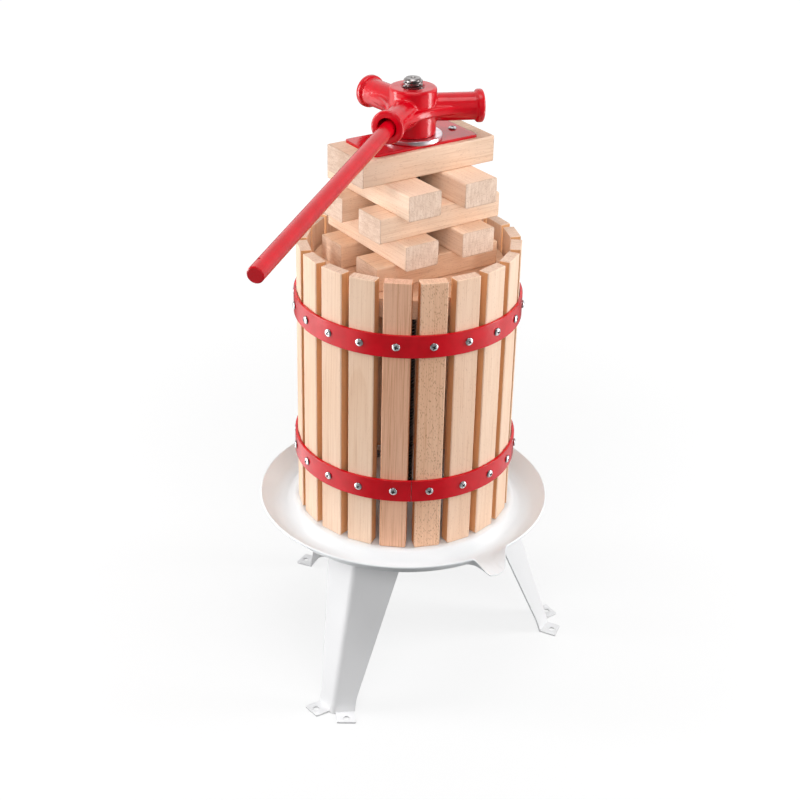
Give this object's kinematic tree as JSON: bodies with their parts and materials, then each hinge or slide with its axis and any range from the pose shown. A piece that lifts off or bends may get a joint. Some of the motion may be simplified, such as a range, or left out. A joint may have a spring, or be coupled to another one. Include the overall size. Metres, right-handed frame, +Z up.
{
  "type": "fruit press",
  "caption": "Basket press for fruit: slatted wooden basket on a spouted steel tray with folded legs, crossed wooden blocks and a hand-turned screw nut with a loose bar.",
  "frame": {"origin": "on the spindle axis at floor level, in the middle of the three feet", "axes": "+Z up along the spindle, -Y towards the pouring spout, +X to the right of it seen from the spout"},
  "size_m": [0.508, 0.4346, 0.6895],
  "materials": {
    "beech": "planed, unsealed",
    "red_enamel": "gloss",
    "white_enamel": "gloss",
    "bright_steel": "zinc plated",
    "thread_steel": "oiled"
  },
  "bodies": {
    "stand": {"tray": "white_enamel", "leg_left": "white_enamel", "leg_right": "white_enamel", "leg_back": "white_enamel", "leg_bolts": "bright_steel", "leg_nuts": "bright_steel", "spindle": "thread_steel", "spindle_base_flange": "bright_steel", "spindle_collar_nut": "bright_steel", "spindle_lock_nut": "bright_steel"},
    "basket": {"stave_01": "beech", "stave_02": "beech", "stave_03": "beech", "stave_04": "beech", "stave_05": "beech", "stave_06": "beech", "stave_07": "beech", "stave_08": "beech", "stave_09": "beech", "stave_10": "beech", "stave_11": "beech", "stave_12": "beech", "stave_13": "beech", "stave_14": "beech", "stave_15": "beech", "stave_16": "beech", "stave_17": "beech", "stave_18": "beech", "stave_19": "beech", "stave_20": "beech", "upper_hoop": "red_enamel", "lower_hoop": "red_enamel", "upper_hoop_screws": "bright_steel", "lower_hoop_screws": "bright_steel"},
    "press_stack": {"press_board_left": "beech", "press_board_right": "beech", "block_1_front": "beech", "block_1_back": "beech", "block_2_right": "beech", "block_2_left": "beech", "block_3_front": "beech", "block_3_back": "beech", "block_4_right": "beech", "block_4_left": "beech", "top_beam": "beech", "bearing_plate": "red_enamel", "plate_screws": "bright_steel", "thrust_washer": "bright_steel"},
    "head": {"head_nut": "red_enamel"},
    "handle": {"handle_bar": "red_enamel"}
  },
  "joints": [
    {"name": "basket_lift", "type": "slide", "parent": "stand", "child": "basket", "axis": [0, 0, 1], "range_m": [0, 0.025]},
    {"name": "stack_slide", "type": "slide", "parent": "stand", "child": "press_stack", "axis": [0, 0, 1], "range_m": [-0.1005, 0.0085]},
    {"name": "head_turn", "type": "hinge", "parent": "press_stack", "child": "head", "pos_m": [0, 0, 0.656], "axis": [0, 0, 1], "range_deg": [-9000, 720]},
    {"name": "handle_slide", "type": "slide", "parent": "head", "child": "handle", "axis": [-0.8093, -0.5825, -0.0752], "range_m": [0, 0.04]}
  ],
  "couplings": [
    {"joint": "stack_slide", "follows": "head_turn", "m_per_rad": 0.00063662}
  ]
}
